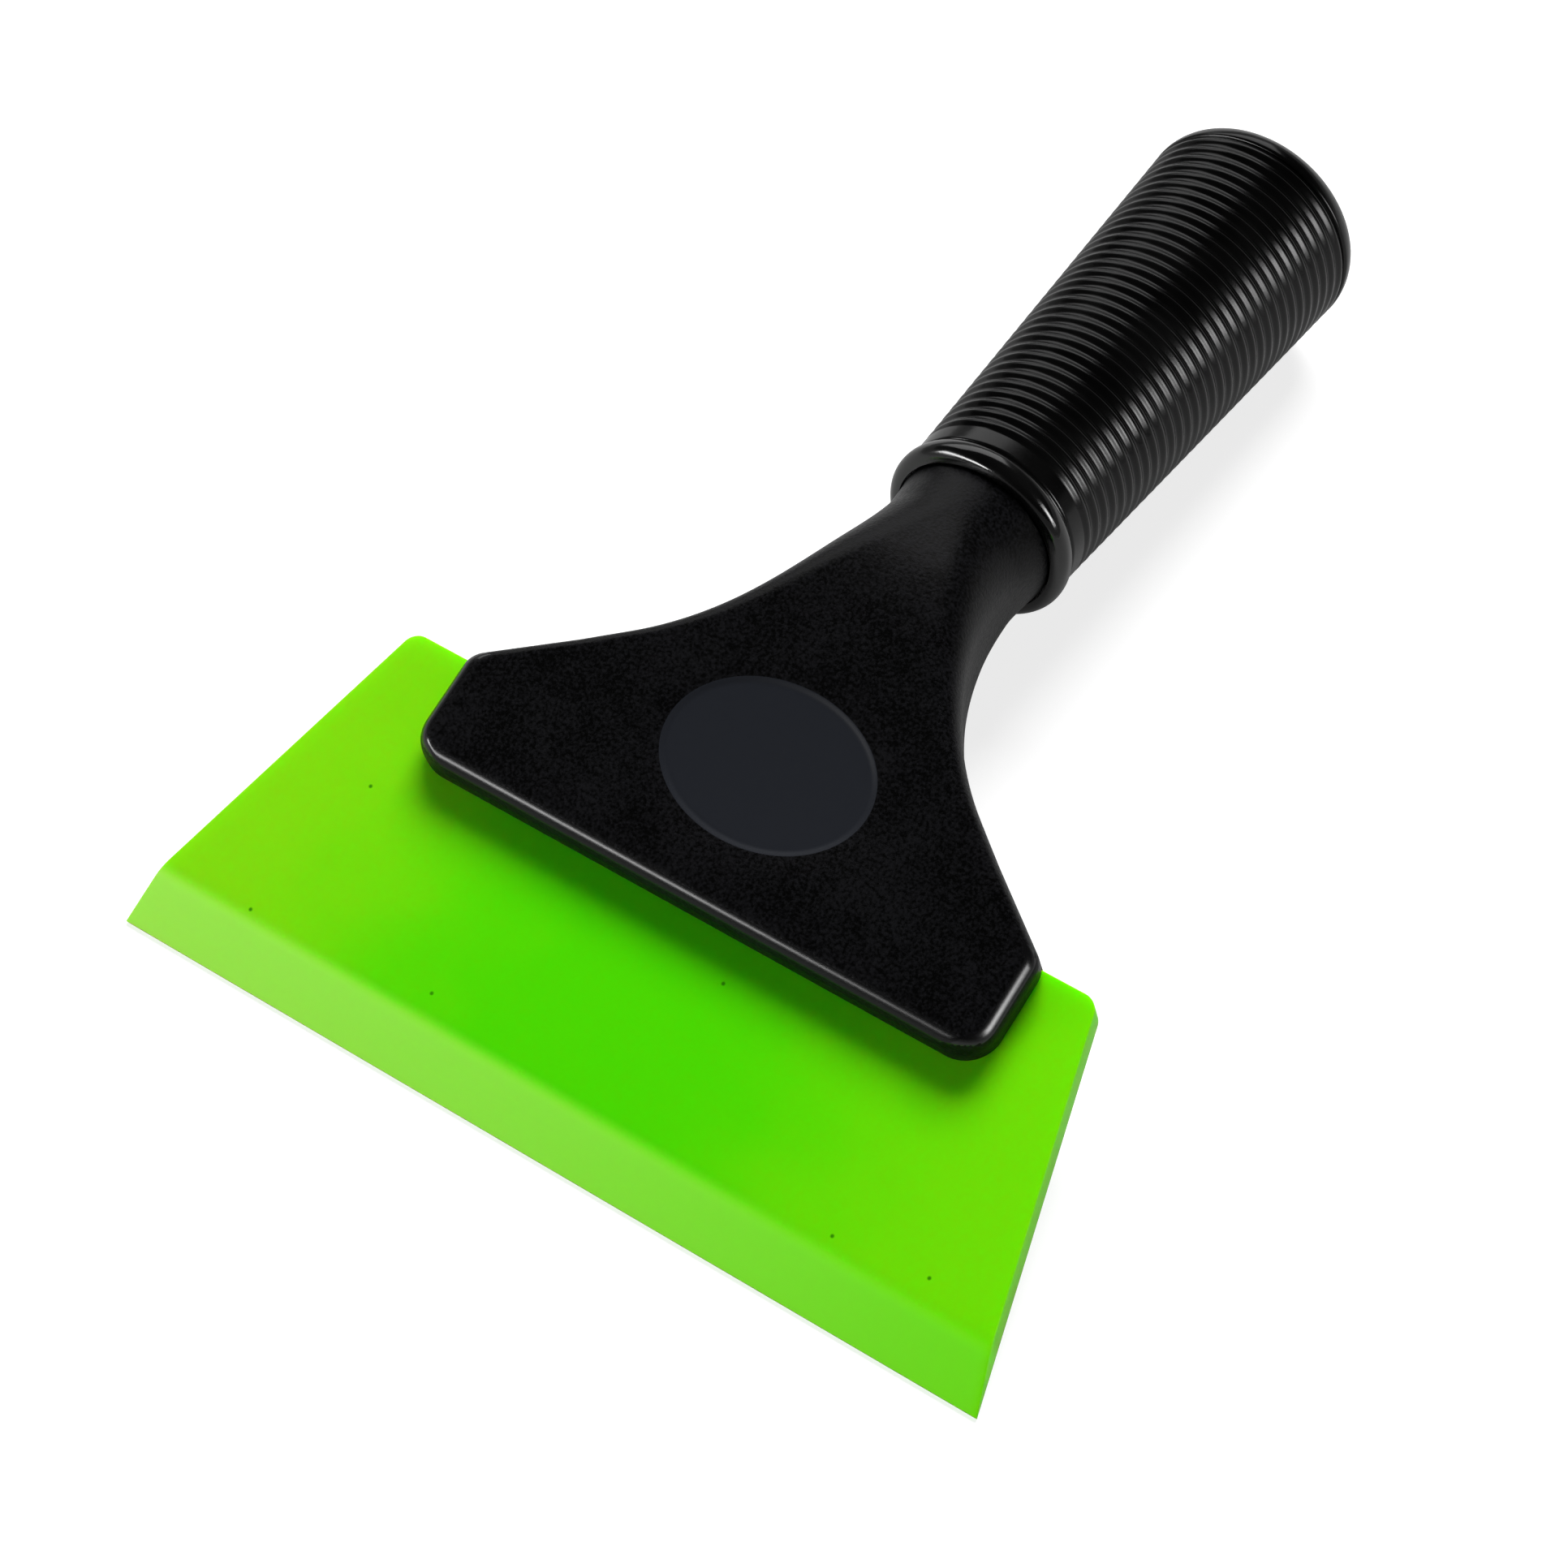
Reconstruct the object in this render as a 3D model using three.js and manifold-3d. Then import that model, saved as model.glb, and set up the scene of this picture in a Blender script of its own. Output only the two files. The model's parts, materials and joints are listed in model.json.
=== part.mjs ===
// Window tint squeegee: a bevelled polyurethane blade, clamped in the jaws of a moulded fan-shaped head,
// on a bent neck whose tang carries a ribbed rubber grip. Millimetres, +Z up.
// The pieces are drawn in the tool's own frame: x across the blade, y from the working edge to the handle,
// z out of the front face. The whole tool is then tilted to lie on its back, on its edge and its grip.

import * as THREE from "three";
import { mergeVertices } from "three/addons/utils/BufferGeometryUtils.js";
import Module from "manifold-3d";

const wasm = await Module();
wasm.setup();

// Clearance between pieces that seat on or in each other
const fitGap = 0.3;

// Blade
const bladeEdgeWidth = 127;
const bladeTopWidth = 101.6;
const bladeHeight = 50;
const bladeThickness = 5;
const bladeShift = -1.2;
const bladeCornerRadius = 1.6;
const bevelHeight = 7.5;
const edgeLand = 0.6;

// Jaws: the front one belongs to the head, the back one is the clamp plate
const jawWidth = 84.5;
const jawGrip = 15;
const jawWall = 5.05;
const jawCornerRadius = 4.9;
const jawEdgeRadius = 2.7;
const bitePitch = 3.6;
const biteWidth = 1.6;
const biteDepth = 0.5;
const biteCount = 3;
const biteInset = 7;

// Fan, from the jaws' shoulders to the neck
const shoulderRadius = 3.1;
const flareAngle = THREE.MathUtils.degToRad(53.3);
const flareRadius = 39;
const waistBelow = 8;
const neckRadius = 11.25;
const roundingPower = 1.8;

// Spine: straight past the blade, then bent back to the grip's axis
const bendRise = 8.35;
const bendRadius = 80.5;
const bendAngle = THREE.MathUtils.degToRad(22);
const neckLength = 11.9;
const faceBlend = 2;

// Bare oval panel, sunk in the front of the head
const panelWidth = 29;
const panelHeight = 22;
const panelDepth = 0.35;
const panelRise = 5;

// Clamp plate and its screws
const clampRise = 18;
const clampSeat = 2;
const screwRise = 8.5;
const screwSpacing = 22;
const screwLength = 8.5;
const screwPoint = 2.5;
const shankRadius = 1.5;
const headRadius = 3.2;
const headHeight = 2.2;
const headRim = 0.8;
const recessLength = 3.6;
const recessWidth = 0.9;
const recessDepth = 1.3;
const pilotSpare = 0.6;

// Cored pockets behind the front wall, between the screws
const pocketWidth = 10;
const pocketHeight = 9;
const pocketRise = 4;
const frontWall = 3.4;

// Tang
const neckSeat = 3;
const tangStep = 1.5;
const tangDraft = 0.5;
const tangWall = 4.3;
const coreStart = 8;

// Grip sleeve
const gripLength = 76.6;
const collarWall = 1.9;
const beadLength = 3.4;
const grooveDepth = 0.9;
const grooveWidth = 0.8;
const bandStep = 0.6;
const bandLength = 2.45;
const gripSwell = 3.1;
const ribPitch = 2.04;
const ribDepth = 0.4;
const endRadius = 4.2;
const endWall = 4;

// Facets
const roundSides = 36;
const screwSides = 16;
const cornerSides = 8;
const arcSteps = 5;
const weld = 1e-4;

// Places that follow from the sizes above
const jawInside = bladeThickness / 2 + fitGap;
const headHalf = jawInside + jawWall;
const lip = bladeHeight - jawGrip;
const bendStart = bladeHeight + bendRise;
const bendEnd = bendStart + bendRadius * bendAngle;
const collar = bendEnd + neckLength;
const waist = collar - waistBelow;
const waistHalf = neckRadius - sag(flareRadius, waistBelow);
const flareFoot = waist - flareRadius * Math.sin(flareAngle);
const flareFootHalf = waistHalf + flareRadius * (1 - Math.cos(flareAngle));
const shoulder = flareFoot - (jawWidth / 2 - flareFootHalf) / Math.tan(flareAngle);
const shoulderStart = shoulder - shoulderRadius * Math.tan(flareAngle / 2);
const shoulderEnd = shoulderStart + shoulderRadius * Math.sin(flareAngle);
const clampTop = bladeHeight + clampRise;
const screwHeight = bladeHeight + screwRise;
const screwSeat = -(jawInside + clampSeat + fitGap);
const collarRadius = neckRadius + fitGap + collarWall;
const bandRadius = collarRadius - bandStep;
const gripEndRadius = bandRadius + gripSwell;
const tangRadius = neckRadius - tangStep;
const tangEnd = gripLength - endWall - fitGap;
const beyond = 2 * bladeEdgeWidth;

// Materials
const abs = new THREE.MeshStandardMaterial({ color: 0x1c1d1f, roughness: 0.55, metalness: 0 });
const polyurethane = new THREE.MeshStandardMaterial({ color: 0x72dc0c, roughness: 0.35, metalness: 0 });
const rubber = new THREE.MeshStandardMaterial({ color: 0x0c0c0d, roughness: 0.3, metalness: 0 });
const zincSteel = new THREE.MeshStandardMaterial({ color: 0xa9abad, roughness: 0.35, metalness: 1 });

// A closed geometry as a solid that can be joined and cut
function toSolid(geometry) {
  const bare = new THREE.BufferGeometry();
  bare.setAttribute("position", geometry.getAttribute("position"));
  bare.setIndex(geometry.getIndex());
  const welded = mergeVertices(bare, weld);
  const corners = welded.getIndex().array;
  const faces = [];
  for (let i = 0; i < corners.length; i += 3) {
    const [a, b, c] = corners.slice(i, i + 3);
    if (a !== b && b !== c && c !== a) faces.push(a, b, c);
  }
  const vertProperties = Float32Array.from(welded.getAttribute("position").array);
  const triVerts = Uint32Array.from(faces);
  return new wasm.Manifold(new wasm.Mesh({ numProp: 3, vertProperties, triVerts }));
}

function toMesh(name, solid, material) {
  const { vertProperties, triVerts } = solid.getMesh();
  const geometry = new THREE.BufferGeometry();
  geometry.setAttribute("position", new THREE.BufferAttribute(vertProperties, 3));
  geometry.setIndex(new THREE.BufferAttribute(triVerts, 1));
  geometry.computeVertexNormals();
  const mesh = new THREE.Mesh(geometry, material);
  mesh.name = name;
  return mesh;
}

// A block between two corners
function block(x0, x1, y0, y1, z0, z1) {
  const geometry = new THREE.BoxGeometry(x1 - x0, y1 - y0, z1 - z0);
  return toSolid(geometry.translate((x0 + x1) / 2, (y0 + y1) / 2, (z0 + z1) / 2));
}

// A round bar along z
function bar(radius, x, y, z0, z1, sides) {
  const geometry = new THREE.CylinderGeometry(radius, radius, z1 - z0, sides);
  return toSolid(geometry.rotateX(Math.PI / 2).translate(x, y, (z0 + z1) / 2));
}

// Points of a quarter of a circle, as steps of an angle from 0 to 90 degrees
function quarter(step) {
  return (Math.PI / 2) * (step / arcSteps);
}

// How far a circle has fallen away from its tangent, at an offset along the tangent
function sag(radius, offset) {
  return radius - Math.sqrt(radius * radius - offset * offset);
}

// How far an edge of that radius has drawn in, at a height above the jaws' lip
function drawnIn(radius, height) {
  return sag(radius, Math.max(radius - height, 0));
}

// The lesser of two values, with the change from one to the other rounded off
function softMin(a, b, blend) {
  const share = Math.max(blend - Math.abs(a - b), 0) / blend;
  return Math.min(a, b) - (share * share * blend) / 4;
}

// A point of the spine and the angle that it has bent back by there
function spineAt(s) {
  const tilt = THREE.MathUtils.clamp((s - bendStart) / bendRadius, 0, bendAngle);
  const before = Math.min(s, bendStart);
  const after = Math.max(s - bendEnd, 0);
  const y = before + bendRadius * Math.sin(tilt) + after * Math.cos(tilt);
  const z = -bendRadius * (1 - Math.cos(tilt)) - after * Math.sin(tilt);
  return { y, z, tilt };
}

// Half the head's width: rounded jaw corners, straight sides, shoulders, a straight flare, and one hollow
// curve that draws in to the waist and opens again to the collar
function halfWidthAt(s) {
  if (s <= shoulderStart) return jawWidth / 2 - drawnIn(jawCornerRadius, s - lip);
  if (s <= shoulderEnd) return jawWidth / 2 - sag(shoulderRadius, s - shoulderStart);
  if (s <= flareFoot) return jawWidth / 2 - (s - shoulder) * Math.tan(flareAngle);
  return waistHalf + sag(flareRadius, Math.min(s, collar) - waist);
}

// Half the head's thickness: the front face stays flat until the head is as thick as the neck
function halfThicknessAt(s) {
  const { z, tilt } = spineAt(s);
  const flatFace = (headHalf - z) / Math.cos(tilt);
  return softMin(flatFace, neckRadius, faceBlend) - drawnIn(jawEdgeRadius, s - lip);
}

// Radius of the section's corners: the jaws' rounded edges grow into the round neck
function cornerRadiusAt(s) {
  const roundFrom = collar - waistBelow / 2;
  const share = THREE.MathUtils.clamp((s - bendStart) / (roundFrom - bendStart), 0, 1);
  return jawEdgeRadius + (neckRadius - jawEdgeRadius) * share ** roundingPower;
}

// One section of the head, square to the spine: a rounded rectangle that ends as a circle
function headSection(s) {
  const { y, z, tilt } = spineAt(s);
  const halfWidth = halfWidthAt(s);
  const halfThickness = halfThicknessAt(s);
  const radius = Math.min(cornerRadiusAt(s), halfWidth, halfThickness);
  const points = [];
  for (let i = 0; i < 4 * cornerSides; i++) {
    const angle = ((i + 0.5) / cornerSides) * (Math.PI / 2);
    const x = Math.sign(Math.cos(angle)) * (halfWidth - radius) + radius * Math.cos(angle);
    const up = Math.sign(Math.sin(angle)) * (halfThickness - radius) + radius * Math.sin(angle);
    points.push(new THREE.Vector3(x, y + up * Math.sin(tilt), z + up * Math.cos(tilt)));
  }
  return points;
}

// A skin over sections that have as many points each, closed by a flat cap at both ends
function loft(sections) {
  const count = sections[0].length;
  const faces = [];
  for (let ring = 0; ring + 1 < sections.length; ring++) {
    for (let i = 0; i < count; i++) {
      const a = ring * count + i;
      const b = ring * count + ((i + 1) % count);
      faces.push(a, a + count, b, b, a + count, b + count);
    }
  }
  const last = (sections.length - 1) * count;
  for (let i = 1; i + 1 < count; i++) {
    faces.push(0, i, i + 1);
    faces.push(last, last + i + 1, last + i);
  }
  const geometry = new THREE.BufferGeometry().setFromPoints(sections.flat());
  geometry.setIndex(faces);
  return toSolid(geometry);
}

// The whole outer form of head and neck, before it is parted into handle and clamp plate
function headForm() {
  const stations = [bendStart, collar + neckSeat];
  for (let i = 0; i <= arcSteps; i++) {
    stations.push(lip + jawCornerRadius * (1 - Math.cos(quarter(i))));
    stations.push(shoulderStart + shoulderRadius * Math.sin((flareAngle * i) / arcSteps));
    stations.push(waist + (waistBelow * i) / arcSteps);
  }
  for (let i = 0; i < 2 * arcSteps; i++) {
    stations.push(waist - flareRadius * Math.sin(flareAngle * (1 - i / (2 * arcSteps))));
  }
  stations.sort((a, b) => a - b);
  return loft(stations.map(headSection));
}

// The frame of the grip: y runs along its axis from the collar to the far end
const gripFrame = new THREE.Group();
gripFrame.position.set(0, spineAt(collar).y, spineAt(collar).z);
gripFrame.rotation.x = -bendAngle;
gripFrame.updateMatrix();

// A tapered round bar on the grip's axis
function gripBar(radius0, radius1, y0, y1) {
  const geometry = new THREE.CylinderGeometry(radius1, radius0, y1 - y0, roundSides);
  return toSolid(geometry.translate(0, (y0 + y1) / 2, 0).applyMatrix4(gripFrame.matrix));
}

// Blind grooves across the jaws' inner faces, whose edges bite on the blade
function biteGrooves(z0, z1) {
  const reach = jawWidth / 2 - biteInset;
  const grooves = [];
  for (let i = 0; i < biteCount; i++) {
    const middle = lip + jawGrip / 2 + (i - (biteCount - 1) / 2) * bitePitch;
    grooves.push(block(-reach, reach, middle - biteWidth / 2, middle + biteWidth / 2, z0, z1));
  }
  return wasm.Manifold.union(grooves);
}

const screwPlaces = { left: -screwSpacing, middle: 0, right: screwSpacing };

// Handle: front jaw, fan, neck and tang in one moulding
function handleBody(form) {
  const panel = new THREE.Shape();
  panel.absellipse(0, bladeHeight + panelRise, panelWidth / 2, panelHeight / 2, 0, 2 * Math.PI);
  const panelCut = new THREE.ExtrudeGeometry(panel, {
    depth: jawWall,
    bevelEnabled: false,
    curveSegments: roundSides / 2,
  });
  const slot = block(-beyond, beyond, -beyond, bladeHeight + fitGap, -beyond, jawInside);
  const plateRoom = block(-beyond, beyond, -beyond, clampTop + fitGap, -beyond, -bladeThickness / 2);
  const tang = gripBar(tangRadius, tangRadius - tangDraft, 0, tangEnd);
  const core = gripBar(tangRadius - tangWall, tangRadius - tangWall - tangDraft, coreStart, gripLength);
  let body = form.subtract(slot).subtract(plateRoom).add(tang).subtract(core);
  body = body.subtract(biteGrooves(0, jawInside + biteDepth));
  body = body.subtract(toSolid(panelCut.translate(0, 0, headHalf - panelDepth)));
  const pilotEnd = screwSeat + screwLength + pilotSpare;
  for (const x of Object.values(screwPlaces)) {
    body = body.subtract(bar(shankRadius + fitGap, x, screwHeight, -headHalf, pilotEnd, screwSides));
  }
  for (const side of [-1, 1]) {
    const middle = (side * screwSpacing) / 2;
    const foot = bladeHeight + pocketRise;
    const room = block(
      middle - pocketWidth / 2,
      middle + pocketWidth / 2,
      foot,
      foot + pocketHeight,
      -headHalf,
      headHalf - frontWall,
    );
    body = body.subtract(room);
  }
  return toMesh("handle_body", body, abs);
}

// Clamp plate: the back of the fan, with clearance holes and sunk seats for the screws
function clampPlate(form) {
  let plate = form.intersect(block(-beyond, beyond, -beyond, clampTop, -beyond, -jawInside));
  plate = plate.subtract(biteGrooves(-jawInside - biteDepth, 0));
  for (const x of Object.values(screwPlaces)) {
    plate = plate.subtract(bar(shankRadius + fitGap, x, screwHeight, -beyond, 0, screwSides));
    const seat = screwSeat + fitGap;
    plate = plate.subtract(bar(headRadius + fitGap, x, screwHeight, -beyond, seat, screwSides));
  }
  return toMesh("clamp_plate", plate, abs);
}

// Blade: a flat trapezoid whose front face is bevelled down to the working edge
function blade() {
  const half = bladeTopWidth / 2;
  const slant = (bladeEdgeWidth - bladeTopWidth) / 2 / bladeHeight;
  const outline = new THREE.Shape();
  outline.moveTo(-bladeEdgeWidth / 2, 0);
  outline.lineTo(bladeEdgeWidth / 2, 0);
  outline.lineTo(half + slant * bladeCornerRadius, bladeHeight - bladeCornerRadius);
  outline.quadraticCurveTo(half, bladeHeight, half - bladeCornerRadius, bladeHeight);
  outline.lineTo(bladeCornerRadius - half, bladeHeight);
  outline.quadraticCurveTo(-half, bladeHeight, -half - slant * bladeCornerRadius, bladeHeight - bladeCornerRadius);
  const flat = new THREE.ExtrudeGeometry(outline, {
    depth: bladeThickness,
    bevelEnabled: false,
    curveSegments: arcSteps,
  });
  const wedge = new THREE.Shape();
  const landTop = edgeLand - bladeThickness / 2;
  wedge.moveTo(bevelHeight, bladeThickness / 2);
  wedge.lineTo(bevelHeight, bladeThickness);
  wedge.lineTo(-bevelHeight, bladeThickness);
  wedge.lineTo(-bevelHeight, landTop);
  wedge.lineTo(0, landTop);
  const bevel = new THREE.ExtrudeGeometry(wedge, { depth: 2 * beyond, bevelEnabled: false });
  bevel.translate(0, 0, -beyond);
  const alongX = new THREE.Matrix4().makeBasis(
    new THREE.Vector3(0, 1, 0),
    new THREE.Vector3(0, 0, 1),
    new THREE.Vector3(1, 0, 0),
  );
  const solid = toSolid(flat.translate(0, 0, -bladeThickness / 2));
  const mesh = toMesh("blade", solid.subtract(toSolid(bevel.applyMatrix4(alongX))), polyurethane);
  mesh.position.x = bladeShift;
  return mesh;
}

// Radius of the grip's ribs' crests at a distance from the collar
function gripRadiusAt(y) {
  const start = beadLength + grooveWidth;
  return bandRadius + (gripSwell * (y - start)) / (gripLength - endRadius - start);
}

// Grip sleeve: rolled bead at the collar, a groove, a plain band, ribs to the far end, which is closed
function gripSleeve() {
  const ribStart = beadLength + grooveWidth + bandLength;
  const ribCount = Math.floor((gripLength - endRadius - ribStart) / ribPitch);
  const mouth = neckRadius + fitGap;
  const bore = tangRadius + fitGap;
  const seat = neckSeat + fitGap;
  const beadMiddle = beadLength / 2;
  const profile = [];
  const add = (radius, y) => profile.push(new THREE.Vector2(radius, y));
  add(0, gripLength - endWall);
  add(bore - tangDraft, gripLength - endWall);
  add(bore, seat);
  add(mouth, seat);
  for (let i = 0; i <= 2 * arcSteps; i++) {
    const angle = quarter(i);
    const bulge = i < arcSteps ? collarRadius - mouth : grooveDepth;
    add(collarRadius - bulge * (1 - Math.sin(angle)), beadMiddle * (1 - Math.cos(angle)));
  }
  add(collarRadius - grooveDepth, beadLength + grooveWidth / 2);
  add(bandRadius, beadLength + grooveWidth);
  for (let i = 0; i < ribCount; i++) {
    const valley = ribStart + i * ribPitch;
    const crest = valley + ribPitch / 2;
    add(gripRadiusAt(valley) - ribDepth, valley);
    add(gripRadiusAt(crest), crest);
  }
  const lastValley = ribStart + ribCount * ribPitch;
  add(gripRadiusAt(lastValley) - ribDepth, lastValley);
  for (let i = 0; i <= arcSteps; i++) {
    const angle = quarter(i);
    add(gripEndRadius - endRadius + endRadius * Math.cos(angle), gripLength - endRadius + endRadius * Math.sin(angle));
  }
  add(0, gripLength);
  return toMesh("grip_sleeve", toSolid(new THREE.LatheGeometry(profile, roundSides)), rubber);
}

// Self-tapping pan-head screw with a cross recess; y runs from its point to its head
function clampScrew(place) {
  const profile = [
    new THREE.Vector2(0, -screwLength),
    new THREE.Vector2(shankRadius, screwPoint - screwLength),
    new THREE.Vector2(shankRadius, 0),
    new THREE.Vector2(headRadius, 0),
  ];
  for (let i = 0; i <= arcSteps; i++) {
    const angle = quarter(i);
    profile.push(new THREE.Vector2(headRadius * Math.cos(angle), headRim + (headHeight - headRim) * Math.sin(angle)));
  }
  let screw = toSolid(new THREE.LatheGeometry(profile, screwSides));
  const floor = headHeight - recessDepth;
  const arm = recessLength / 2;
  const rib = recessWidth / 2;
  screw = screw.subtract(block(-arm, arm, floor, headHeight + recessDepth, -rib, rib));
  screw = screw.subtract(block(-rib, rib, floor, headHeight + recessDepth, -arm, arm));
  const mesh = toMesh(`clamp_screw_${place}`, screw, zincSteel);
  mesh.position.set(screwPlaces[place], screwHeight, screwSeat);
  mesh.rotation.x = -Math.PI / 2;
  return mesh;
}

// Assembly in the tool's frame
const form = headForm();
const tool = new THREE.Group();
tool.add(blade(), handleBody(form), clampPlate(form), gripFrame);
gripFrame.add(gripSleeve());
for (const place of Object.keys(screwPlaces)) tool.add(clampScrew(place));

// Rest on a table: tilt until the rear of the working edge and the round of the grip's end lie level
const endSpine = new THREE.Vector3(0, gripLength - endRadius, endRadius - gripEndRadius).applyMatrix4(gripFrame.matrix);
const reach = Math.hypot(endSpine.y, endSpine.z + bladeThickness / 2);
const drop = Math.atan2(-(endSpine.z + bladeThickness / 2), endSpine.y);
tool.rotation.x = drop + Math.asin(endRadius / reach);

// Origin: under the middle of the tool's box, on the table
tool.updateMatrixWorld(true);
const box = new THREE.Box3().setFromObject(tool, true);
const middle = box.getCenter(new THREE.Vector3());
tool.position.set(-middle.x, -middle.y, -box.min.z);

const squeegee = new THREE.Group();
squeegee.add(tool);
export default squeegee;
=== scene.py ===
import json
import math
import bmesh
import bpy
from mathutils import Matrix, Vector


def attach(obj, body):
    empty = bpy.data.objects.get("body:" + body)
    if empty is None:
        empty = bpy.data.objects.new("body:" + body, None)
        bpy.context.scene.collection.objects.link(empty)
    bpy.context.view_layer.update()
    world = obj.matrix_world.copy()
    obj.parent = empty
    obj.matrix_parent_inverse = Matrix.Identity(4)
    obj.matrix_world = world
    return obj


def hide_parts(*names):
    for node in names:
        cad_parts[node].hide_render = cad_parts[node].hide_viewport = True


# Window tint squeegee, lying on its working edge and its grip with its front up.
# Metres and +Z up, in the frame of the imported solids.
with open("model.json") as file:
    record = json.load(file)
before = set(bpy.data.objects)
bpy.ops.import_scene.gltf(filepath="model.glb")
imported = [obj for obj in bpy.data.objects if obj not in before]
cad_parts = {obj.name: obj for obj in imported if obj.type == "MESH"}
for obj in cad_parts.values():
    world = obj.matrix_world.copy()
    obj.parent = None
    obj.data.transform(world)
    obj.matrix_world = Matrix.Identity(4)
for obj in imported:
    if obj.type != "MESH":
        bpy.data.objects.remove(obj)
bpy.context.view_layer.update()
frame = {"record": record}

# Camera
# A long lens half a metre away, above the tool and to the right of its working edge.
camera_aim = Vector((0.00098, -0.03375, 0.0175))
camera_distance = 0.50653
camera_azimuth = math.radians(33.279)
camera_elevation = math.radians(53.815)
camera_roll = math.radians(0.265)
camera_lens_mm = 93.17
camera_clip_start = 0.01

to_camera = Vector((
    math.sin(camera_azimuth) * math.cos(camera_elevation),
    -math.cos(camera_azimuth) * math.cos(camera_elevation),
    math.sin(camera_elevation),
))
camera_data = bpy.data.cameras.new("photo_camera")
camera_data.lens = camera_lens_mm
camera_data.clip_start = camera_clip_start
camera = bpy.data.objects.new("photo_camera", camera_data)
camera_place = Matrix.Translation(camera_aim + camera_distance * to_camera)
camera_facing = to_camera.to_track_quat("Z", "Y").to_matrix().to_4x4()
camera.matrix_world = camera_place @ camera_facing @ Matrix.Rotation(camera_roll, 4, "Z")
bpy.context.collection.objects.link(camera)
bpy.context.scene.camera = camera
bpy.context.scene.view_settings.view_transform = "Standard"

# Studio floor
# A sweep of matt white paper that curves up into a low wall, far from the tool.
# It is white to the camera, and keeps the tool's shadow.
sweep_radius = 8.0
sweep_curve = 1.0
sweep_wall = 1.4
sweep_sides = 96
sweep_steps = 12


def linear(hex_colour):
    """An sRGB hex colour as linear RGBA."""
    channels = [int(hex_colour[i:i + 2], 16) / 255 for i in (1, 3, 5)]
    return [c / 12.92 if c <= 0.04045 else ((c + 0.055) / 1.055) ** 2.4 for c in channels] + [1.0]


def start_material(name):
    """A new material with an empty node tree."""
    material = bpy.data.materials.new(name)
    material.use_nodes = True
    material.node_tree.nodes.clear()
    return material


def add_node(material, kind, settings, inputs):
    """Adds a node, sets its properties, and sets or links its inputs by name or number."""
    tree = material.node_tree
    node = tree.nodes.new(kind)
    for name, value in settings.items():
        setattr(node, name, value)
    for name, value in inputs.items():
        if isinstance(value, bpy.types.NodeSocket):
            tree.links.new(value, node.inputs[name])
        else:
            node.inputs[name].default_value = value
    return node


def turns_round(sides):
    """Angles of evenly spaced points round a circle."""
    return [2 * math.pi * i / sides for i in range(sides)]


def add_rings(mesh, rings):
    """Adds rings of points, a band of faces from each ring to the next, and a flat cap at either end."""
    loops = [[mesh.verts.new(point) for point in ring] for ring in rings]
    for near, far in zip(loops, loops[1:]):
        for i in range(len(near)):
            j = (i + 1) % len(near)
            mesh.faces.new((near[i], near[j], far[j], far[i]))
    mesh.faces.new(loops[0])
    mesh.faces.new(loops[-1])


sweep_profile = [(sweep_radius, 0.0)]
for i in range(1, sweep_steps + 1):
    angle = math.radians(90 * i / sweep_steps)
    outward = sweep_radius + sweep_curve * math.sin(angle)
    sweep_profile.append((outward, sweep_curve * (1 - math.cos(angle))))
sweep_profile.append((sweep_radius + sweep_curve, sweep_curve + sweep_wall))
sweep_mesh = bmesh.new()
add_rings(sweep_mesh, [
    [Vector((radius * math.cos(t), radius * math.sin(t), height)) for t in turns_round(sweep_sides)]
    for radius, height in sweep_profile
])
# The last cap would close the wall's top.
sweep_mesh.faces.ensure_lookup_table()
sweep_mesh.faces.remove(sweep_mesh.faces[-1])
for face in sweep_mesh.faces:
    face.smooth = len(face.verts) == 4
sweep_data = bpy.data.meshes.new("paper_sweep")
sweep_mesh.to_mesh(sweep_data)
sweep_mesh.free()
sweep = bpy.data.objects.new("paper_sweep", sweep_data)
bpy.context.collection.objects.link(sweep)

# Matt paper scatters light evenly. Its own tone is a grey that the fills light up, and its glow makes up the
# rest of the white for the camera. Mirrors see a fifth of that glow, so that the black pieces stay deep.
paper_tone = "#A0A0A0"
paper_glow_near = 0.8
paper_glow_far = 1.0
paper_glow_from = 0.3
paper_glow_to = 1.4
paper_in_mirrors = 0.2
paper = start_material("white_paper_matt")
where = add_node(paper, "ShaderNodeTexCoord", {}, {})
reach = add_node(paper, "ShaderNodeVectorMath", {"operation": "LENGTH"}, {
    0: where.outputs["Object"],
})
glow = add_node(paper, "ShaderNodeMapRange", {"interpolation_type": "SMOOTHSTEP"}, {
    "Value": reach.outputs["Value"],
    "From Min": paper_glow_from,
    "From Max": paper_glow_to,
    "To Min": paper_glow_near,
    "To Max": paper_glow_far,
})
path = add_node(paper, "ShaderNodeLightPath", {}, {})
mirrored = add_node(paper, "ShaderNodeMath", {"operation": "MAXIMUM"}, {
    0: path.outputs["Is Glossy Ray"],
    1: path.outputs["Is Transmission Ray"],
})
seen = add_node(paper, "ShaderNodeMath", {"operation": "MULTIPLY_ADD"}, {
    0: mirrored.outputs["Value"],
    1: paper_in_mirrors,
    2: path.outputs["Is Camera Ray"],
})
strength = add_node(paper, "ShaderNodeMath", {"operation": "MULTIPLY"}, {
    0: seen.outputs["Value"],
    1: glow.outputs["Result"],
})
scatter = add_node(paper, "ShaderNodeBsdfDiffuse", {}, {"Color": linear(paper_tone)})
shine = add_node(paper, "ShaderNodeEmission", {}, {"Strength": strength.outputs["Value"]})
both = add_node(paper, "ShaderNodeAddShader", {}, {
    0: scatter.outputs["BSDF"],
    1: shine.outputs["Emission"],
})
add_node(paper, "ShaderNodeOutputMaterial", {}, {"Surface": both.outputs["Shader"]})
sweep_data.materials.append(paper)

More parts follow.
